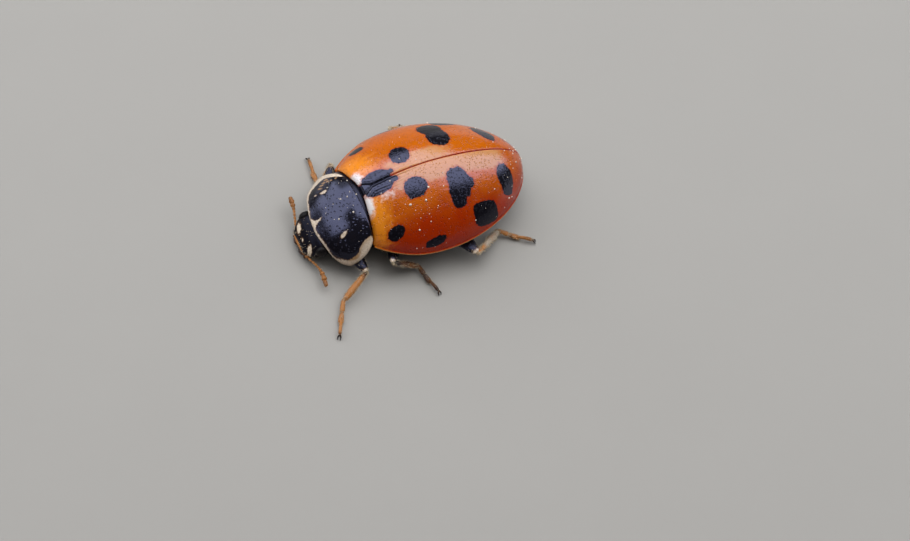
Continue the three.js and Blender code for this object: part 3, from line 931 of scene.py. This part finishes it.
def headShape(rows=110, around=120):
    angle = turns(around)
    c, s = np.cos(angle), np.sin(angle)
    power = head["squareness"]
    reach = (np.abs(c) ** power + np.abs(s) ** power) ** (-1 / power)
    rings = []
    for y, z, w, h in smoothLine(head["sections"], np.linspace(0, 1, rows)):
        crease = groove(y, -0.44, 0.02, 0.002) * smoothStep(0, 0.5, s)
        rings.append(np.stack([w * c * reach, np.full(around, y), z + h * s * reach + crease], 1))
    rings = np.array(rings)
    along = rings[:, :, 1]
    cream = np.where(rings[:, :, 2] < -0.2, 1.0, spotDistance(rings[:, :, 0], along, head["marks"]))
    return loftShape(rings + headPlace, cream=cream.ravel(), dull=smoothStep(-0.18, -0.34, along).ravel())


headCapsule = headShape()
makePiece("headCapsule", headCapsule, headFinish, ["head"])
plantBristles(headCapsule, 130, 0.04, lean=0.8, keep=lambda p: p[:, 1] < -0.95)


def ballRing(down, around):
    angle = turns(around)
    return np.stack([math.sin(down) * np.cos(angle), math.sin(down) * np.sin(angle),
                     np.full(around, -math.cos(down))], 1)


def ballShape(centre, radii, rows=48, around=64, **values):
    values = {key: np.full(rows * around, value) for key, value in values.items()}
    down = np.linspace(0.02, math.pi - 0.02, rows)
    return loftShape([centre + ballRing(d, around) * radii for d in down], **values)


for side, name in sides:
    eye = ballShape(headPlace + (side * 0.43, -0.23, 0.0), (0.105, 0.15, 0.14))
    makePiece(f"eye_{name}_facets", eye, eyeFinish, [f"eye_{name}"])


# A limb is a smooth path with half widths and half heights at even steps, from pole to pole.
def limbShape(path, widths, heights=None, steps=40, around=20, dark=0.0):
    path = np.asarray(path, float)
    share = (1 + spread(steps)) / 2
    line = smoothLine(path, share) if len(path) > 2 else path[0] + (path[1] - path[0]) * share[:, None]
    w, h = (np.maximum(smoothLine(np.c_[half], share), 0.002) for half in (widths, heights or widths))
    tangent = np.gradient(line, axis=0)
    tangent /= np.linalg.norm(tangent, axis=1)[:, None]
    side = np.cross(tangent, (0, 0, 1))
    side /= np.linalg.norm(side, axis=1)[:, None]
    up = np.cross(side, tangent)
    angle = turns(around)
    rings = (
        line[:, None] + side[:, None] * (w * np.cos(angle))[:, :, None]
        + up[:, None] * (h * np.sin(angle))[:, :, None]
    )
    tone = np.interp(share, np.linspace(0, 1, np.size(dark)), np.atleast_1d(dark))
    return loftShape(rings[:, ::-1], dark=np.repeat(tone, around), cream=np.ones(steps * around))


def makeLimb(name, shape, *nodes):
    makePiece(name, shape, limbFinish, nodes)


feeler = {
    "segments": [  # start, end, half width at the base, half width at the tip, darkness
        (0, 0.15, 0.036, 0.048, 0.25), (0.14, 0.24, 0.028, 0.038, 0.2), (0.235, 0.34, 0.02, 0.027, 0.15),
        (0.335, 0.42, 0.019, 0.026, 0.15), (0.415, 0.49, 0.019, 0.026, 0.15),
        (0.485, 0.555, 0.02, 0.027, 0.2), (0.55, 0.615, 0.021, 0.029, 0.15), (0.61, 0.68, 0.023, 0.036, 0.2),
        (0.675, 0.78, 0.03, 0.052, 0.22), (0.77, 0.88, 0.04, 0.058, 0.28), (0.87, 1, 0.044, 0.04, 0.3),
    ],
    "left": [
        (0.16, -0.515, -0.23), (0.37, -0.47, -0.24), (0.60, -0.38, -0.24), (0.80, -0.35, -0.24),
        (1.10, -0.39, -0.24),
    ],
    "right": [(-0.23, -0.48, -0.18), (-0.42, -0.44, -0.13), (-0.74, -0.35, -0.09), (-1.02, -0.3, -0.12)],
}


def feelerShape(name):
    path = np.asarray(feeler[name], float) + headPlace
    pieces = []
    for start, end, base, tip, dark in feeler["segments"]:
        line = [smoothLine(path, [start + (end - start) * f])[0] for f in (0, 0.33, 0.67, 1)]
        widths = [base * 0.5, base, (base + tip) / 2, tip, tip * 0.92, tip * 0.3]
        pieces.append(limbShape(line, widths, steps=18, dark=dark))
        plantBristles(pieces[-1], 22, 0.03, lean=0.8, radius=0.0025)
    return joinShapes(pieces)


for side, name in sides:
    makeLimb(f"feeler_{name}", feelerShape(name), f"antenna_{name}")

mouth = {
    "labrum": (0, -0.525, -0.2), "labrumRadii": (0.25, 0.05, 0.05),
    "jaw": [(0.19, -0.38, -0.28), (0.2, -0.46, -0.31), (0.11, -0.53, -0.32), (0.02, -0.52, -0.32)],
    "jawSizes": ([0.04, 0.07, 0.065, 0.05, 0.03, 0.008], [0.03, 0.05, 0.045, 0.035, 0.02, 0.008]),
    "palp": [(0.20, -0.32, -0.25), (0.24, -0.36, -0.30), (0.26, -0.41, -0.33), (0.20, -0.50, -0.365)],
    "axeSizes": ([0.015, 0.04, 0.075, 0.085, 0.07, 0.02], [0.015, 0.03, 0.035, 0.035, 0.03, 0.01]),
    "innerPalp": [(0.08, -0.38, -0.3), (0.1, -0.44, -0.35), (0.08, -0.49, -0.37)],
}
labrum = ballShape(headPlace + mouth["labrum"], mouth["labrumRadii"], 30, 60, dark=0.12)
makeLimb("labrumPlate", labrum, "labrum")
for side, name in sides:
    lines = [headPlace + np.array(mouth[key]) * (side, 1, 1) for key in ("jaw", "palp", "innerPalp")]
    jaw, palp, inner = lines
    makeLimb(f"jaw_{name}", limbShape(jaw, *mouth["jawSizes"], dark=[0.5, 0.6, 0.9]), f"mandible_{name}")
    palps = joinShapes([
        limbShape(palp[:2], [0.02, 0.035, 0.035, 0.02], dark=0.3),
        limbShape(palp[1:3], [0.02, 0.035, 0.038, 0.02], dark=0.3),
        limbShape(palp[2:], *mouth["axeSizes"], dark=[0.3, 0.5, 0.75]),
        limbShape(inner, [0.012, 0.02, 0.022, 0.012], dark=0.4),
    ])
    makeLimb(f"palps_{name}", palps, f"palp_{name}")
print("head made")

# ---- legs, from the hip to the tips of the claws
legJoints = {
    "front_left": [(0.42, -0.4, -0.44), (1.28, -0.27, -0.36), (1.675, -0.93, -0.56), (2.4, -1.32)],
    "front_right": [(-0.42, -0.4, -0.44), (-1.2, -0.01, -0.17), (-0.92, -0.31, -0.59), (-1.78, -0.21)],
    "middle_left": [(0.5, 0.68, -0.45), (1.355, 0.25, -0.15), (1.385, 0.89, -0.57), (2.08, 1.09)],
    "middle_right": [(-0.5, 0.68, -0.45), (-1.42, 0.72, -0.22), (-1.5, 1.4, -0.57), (-1.9, 1.97)],
    "hind_left": [(0.6, 1.72, -0.44), (1.66, 2.04, -0.2), (1.125, 2.81, -0.56), (1.55, 3.49)],
    "hind_right": [(-0.6, 1.72, -0.44), (-1.6, 1.48, -0.14), (-1.54, 2.3, -0.55), (-1.42, 3.08)],
}
# Half widths and half heights along each part of a leg, and how much darker the three pairs are painted:
# painted shade, mostly on the middle pair, with the front pair a little lighter.
leg = {
    "coxa": ([0.13, 0.16, 0.15, 0.09], [0.12, 0.14, 0.13, 0.08]),
    "trochanter": [0.07, 0.1, 0.09, 0.06],
    "femur": ([0.09, 0.15, 0.175, 0.16, 0.12, 0.085], [0.07, 0.11, 0.125, 0.115, 0.09, 0.065]),
    "tibia": ([0.042, 0.054, 0.064, 0.072, 0.07, 0.055], [0.042, 0.048, 0.055, 0.06, 0.058, 0.05]),
    "tibiaTones": [0.9, 0.4, 0.12, 0.05, 0.05, 0.1],
    "spur": [0.01, 0.009, 0.002],
    "first": ([0.044, 0.046, 0.05, 0.05], [0.042, 0.044, 0.044, 0.04]),
    "lobe": ([0.03, 0.036, 0.038, 0.034, 0.014], [0.03, 0.034, 0.036, 0.03, 0.01]),
    "last": [0.02, 0.03, 0.033, 0.036, 0.036, 0.02],
    "claw": [0.016, 0.019, 0.015, 0.009, 0.002],
    "shade": {"front": -0.05, "middle": 0.38, "hind": 0.12},
    "padHeight": 0.07, "wristHeight": 0.09, "arch": np.array([0, 0, 0.03]),
}


def between(a, b, share):
    return a + (b - a) * share


def blunt(widths):
    return [0.25 * widths[0], *widths, 0.25 * widths[-1]]


def makeLeg(name, joints):
    pair = name.split("_")[0]
    shade = leg["shade"][pair]
    cover = 0.4 if pair == "middle" else 1
    hip, knee, ankle = (np.array(j) for j in joints[:3])
    tip = np.array([*joints[3], floorLevel])
    root = np.array([hip[0] * 0.45, hip[1], hip[2] + 0.05])
    along = tip - ankle
    sideways = np.cross(along, (0, 0, 1))
    sideways /= np.linalg.norm(sideways)
    pad = between(ankle, tip, 0.5)
    pad[2] = floorLevel + leg["padHeight"]
    wrist = between(ankle, tip, 0.9)
    wrist[2] = floorLevel + leg["wristHeight"]

    coxa = limbShape([root, between(root, hip, 0.5), hip], *map(blunt, leg["coxa"]))
    trochanter = limbShape([between(root, hip, 0.75), between(hip, knee, 0.16)], blunt(leg["trochanter"]))
    makePiece(f"hip_{name}", joinShapes([coxa, trochanter]), bellyFinish, [f"coxa_{name}"])

    widths, heights = leg["femur"]
    # The hind thighs are drawn 1.3 times as wide: partly their own breadth, partly a dark stand-in for
    # painted shade under the rim.
    widths = (1.3 if pair == "hind" else 1) * np.array(widths)
    line = [between(hip, knee, 0.05), between(hip, knee, 0.5) + leg["arch"], knee]
    femur = limbShape(line, blunt(widths), blunt(heights), steps=50, around=30)
    femur["values"]["cream"] = np.repeat(0.3 * (0.8 - np.linspace(0, 1, 50)), 30)  # a pale knee
    makePiece(f"thigh_{name}", femur, bellyFinish, [f"femur_{name}"])
    plantBristles(femur, round(170 * cover), 0.055, lean=1.0)

    line = [between(knee, ankle, -0.03), between(knee, ankle, 0.45) + leg["arch"], ankle]
    # The hind shins are turned pale: partly their pale hairs, partly a painted highlight.
    tones = np.array(leg["tibiaTones"]) + (-0.6 if pair == "hind" else shade)
    shin = limbShape(line, *map(blunt, leg["tibia"]), steps=50, around=26, dark=tones)
    plantBristles(shin, round(460 * cover), 0.06, lean=0.8)
    spurs, lobes, claws = [], [], []
    for side in (-1, 1):
        line = [ankle - sideways * 0.03 * side, between(ankle, pad, 0.28) - sideways * 0.05 * side]
        spurs.append(limbShape(line, leg["spur"], steps=12, around=10, dark=0.5))
        line = [between(ankle, pad, 0.48), between(ankle, pad, 0.85) + side * sideways * 0.018,
                pad + side * sideways * 0.026 + along * 0.06]
        lobes.append(limbShape(line, *leg["lobe"], dark=0.2 + shade))
        end = tip + side * sideways * 0.028 + (0, 0, 0.004)
        middle = between(wrist, end, 0.55) + (0, 0, 0.025) + side * sideways * 0.014
        line = [between(wrist, end, -0.15), middle, end]
        claws.append(limbShape(line, leg["claw"], steps=24, around=14, dark=[0.55, 0.8, 1]))
    makeLimb(f"shin_{name}", joinShapes([shin, *spurs]), f"tibia_{name}")

    line = [between(ankle, pad, -0.2), between(ankle, pad, 0.62)]
    first = limbShape(line, *map(blunt, leg["first"]), dark=0.1 + shade)
    line = [between(ankle, pad, 0.9), between(pad, wrist, 0.5) + leg["arch"], wrist]
    last = limbShape(line, leg["last"], dark=np.array([0.1, 0.1, 0.4]) + shade)
    for segment, count in ((first, 90), (lobes[0], 90), (lobes[1], 90), (last, 60)):
        plantBristles(segment, round(count * cover), 0.04, lean=0.8, radius=0.0035)
    tarsus = joinShapes([first, *lobes, last])
    tarsus["points"][:, 2] = np.maximum(tarsus["points"][:, 2], floorLevel)
    makeLimb(f"foot_{name}", tarsus, f"tarsus_{name}")
    makeLimb(f"claws_{name}", joinShapes(claws))


for legName, joints in legJoints.items():
    makeLeg(legName, joints)
print("legs made")


# ---- bristles and dust
# Every bristle is a thin curved cone: three rings of three points and a tip.
def bristleShape():
    root, normal, tilt, size, radius, place = (np.concatenate(part) for part in zip(*coat["bristles"]))
    count = len(root)
    across = np.cross(normal, tilt)
    across /= np.linalg.norm(across, axis=1)[:, None] + 1e-9
    other = np.cross(across, normal)
    stations = [(0.0, 1.0), (0.4, 0.8), (0.75, 0.5)]  # share of the length, share of the radius
    corners = [(1, 0), (-0.5, 0.87), (-0.5, -0.87)]
    points = np.zeros((count, 10, 3))
    patches = np.zeros((count, 10, 2))
    for i, (t, share) in enumerate(stations):
        middle = root + size[:, None] * (normal * t * (1 - 0.3 * t) + tilt * t * t * 0.8)
        for j, (a, b) in enumerate(corners):
            points[:, 3 * i + j] = middle + (radius * share)[:, None] * (a * across + b * other)
            patches[:, 3 * i + j] = place + coat["patch"] * share * np.array([a, b])
    points[:, 9] = root + size[:, None] * (normal * 0.7 + tilt * 0.8)
    patches[:, 9] = place
    points[:, :, 2] = np.maximum(points[:, :, 2], floorLevel)
    one = [(i + j, i + (j + 1) % 3, i + 3 + (j + 1) % 3, i + 3 + j) for i in (0, 3) for j in range(3)]
    one += [(6 + j, 6 + (j + 1) % 3, 9) for j in range(3)]
    return makeShape(points, repeated(one, 10, count)), patches.reshape(-1, 2)


def repeated(faces, corners, count):
    return [tuple(corner + corners * k for corner in face) for k in range(count) for face in faces]


# Every grain of dust is a lumpy pebble, half sunk where it lies.
def dustShape():
    point, normal, size, place = (np.concatenate(part) for part in zip(*coat["dust"]))
    down = np.linspace(0, math.pi, 7)[1:-1]
    ball = np.concatenate([[(0, 0, 1)], *[ballRing(d, 8) * (1, 1, -1) for d in down], [(0, 0, -1)]])
    one = [(0, 1 + j, 1 + (j + 1) % 8) for j in range(8)]
    for i in range(1, 33, 8):
        one += [(i + j, i + 8 + j, i + 8 + (j + 1) % 8, i + (j + 1) % 8) for j in range(8)]
    one += [(41, 33 + (j + 1) % 8, 33 + j) for j in range(8)]
    count = len(point)
    stretch = rng.uniform(0.6, 1.3, (count, 1, 3))
    lumps = 1 + rng.normal(0, 0.13, (count, len(ball), 1))
    middle = point + normal * size[:, None] * 0.3
    points = middle[:, None] + ball[None] * lumps * stretch * size[:, None, None]
    patches = place[:, None] + coat["patch"] * ball[None, :, :2]
    return makeShape(points, repeated(one, len(ball), count)), patches.reshape(-1, 2)


bristles, bristlePatches = bristleShape()
makePiece("bristles", bristles, bristleFinish, patches=bristlePatches)
grains, grainPatches = dustShape()
makePiece("dustGrains", grains, dustFinish, patches=grainPatches)
print("coat made,", len(bristles["points"]) // 10, "bristles")

# ---- floor, light and camera
studio = {
    "floorColour": (0.37, 0.345, 0.31), "world": (0.80, 0.85, 0.92), "worldStrength": 0.04,
    "boxHeight": 0.06, "boxRadiance": 2.0, "boxColour": (0.87, 0.92, 1.0),
    "boxes": [  # low and high x, low and high y
        (-0.36, -0.13, -0.21, -0.07), (-0.13, -0.03, -0.14, -0.07), (-0.03, 0.016, -0.118, -0.07),
        (-0.25, -0.018, -0.07, -0.03), (-0.12, 0.006, -0.03, -0.017), (-0.12, 0.017, -0.017, 0.0),
        (-0.11, 0.023, 0.0, 0.009), (-0.11, 0.016, 0.009, 0.024), (-0.11, 0.027, 0.024, 0.034),
        (-0.045, 0.03, 0.034, 0.055), (-0.028, 0.034, 0.055, 0.13), (-0.03, 0.045, 0.13, 0.30),
    ],
    "fillHeight": 0.4, "fillSize": 0.5, "fillPower": 0.75,
}
view = {
    "lens": 351.8, "sensor": 36, "azimuth": 50.49, "elevation": 56.93, "roll": -18.22,
    "distance": 0.18, "right": 1.997, "up": -1.264,  # metres away, and mm to the side
}


def makeFloor():
    bpy.ops.mesh.primitive_grid_add(x_subdivisions=8, y_subdivisions=8, size=1.2, location=(0, 0, 0))
    floor = bpy.context.object
    floor.name = "studioFloor"
    material, tree = newMaterial("paleFloor", Roughness=0.8)
    darker = tuple(c * 0.96 for c in studio["floorColour"])
    colour = mixColour(noise(objectPlace(tree), 0.4, 5), studio["floorColour"], darker)
    floor.data.materials.append(feed(material, Base_Color=colour))


def addLamp(name, place, **settings):
    light = bpy.data.lights.new(name, "AREA")
    for key, value in settings.items():
        setattr(light, key, value)
    lamp = addObject(name, light)
    lamp.location = place
    return lamp


def makeLights():
    world = bpy.data.worlds.new("studioWorld")
    bpy.context.scene.world = world
    world.use_nodes = True
    background = world.node_tree.nodes["Background"]
    background.inputs["Color"].default_value = (*studio["world"], 1)
    background.inputs["Strength"].default_value = studio["worldStrength"]
    for left, right, front, back in studio["boxes"]:
        width, depth = right - left, back - front
        place = ((left + right) / 2, (front + back) / 2, studio["boxHeight"])
        power = studio["boxRadiance"] * math.pi * width * depth
        lamp = addLamp("softbox", place, shape="RECTANGLE", size=width, size_y=depth, energy=power)
        lamp.data.color = studio["boxColour"]
    fill = addLamp("fill", (0, 0, studio["fillHeight"]), size=studio["fillSize"], energy=studio["fillPower"])
    fill.visible_glossy = False


def makeCamera():
    camera = bpy.data.cameras.new("camera")
    camera.lens = view["lens"]
    camera.sensor_width = view["sensor"]
    camera.clip_start = 0.01
    camera.clip_end = 10
    azimuth, elevation, roll = (math.radians(view[key]) for key in ("azimuth", "elevation", "roll"))
    level = Vector((math.cos(azimuth), math.sin(azimuth), 0))
    outward = Vector((math.sin(azimuth), -math.cos(azimuth), 0))
    back = outward * math.cos(elevation) + Vector((0, 0, math.sin(elevation)))
    rise = back.cross(level)
    right = level * math.cos(roll) - rise * math.sin(roll)
    up = level * math.sin(roll) + rise * math.cos(roll)
    place = Vector(bodyOrigin) + back * view["distance"] + right * view["right"] * mm + up * view["up"] * mm
    holder = addObject("camera", camera)
    holder.matrix_world = Matrix.Translation(place) @ Matrix((right, up, back)).transposed().to_4x4()
    bpy.context.scene.camera = holder


makeFloor()
makeLights()
makeCamera()
bpy.context.scene.view_settings.view_transform = "Standard"
print("floor, light and camera made")
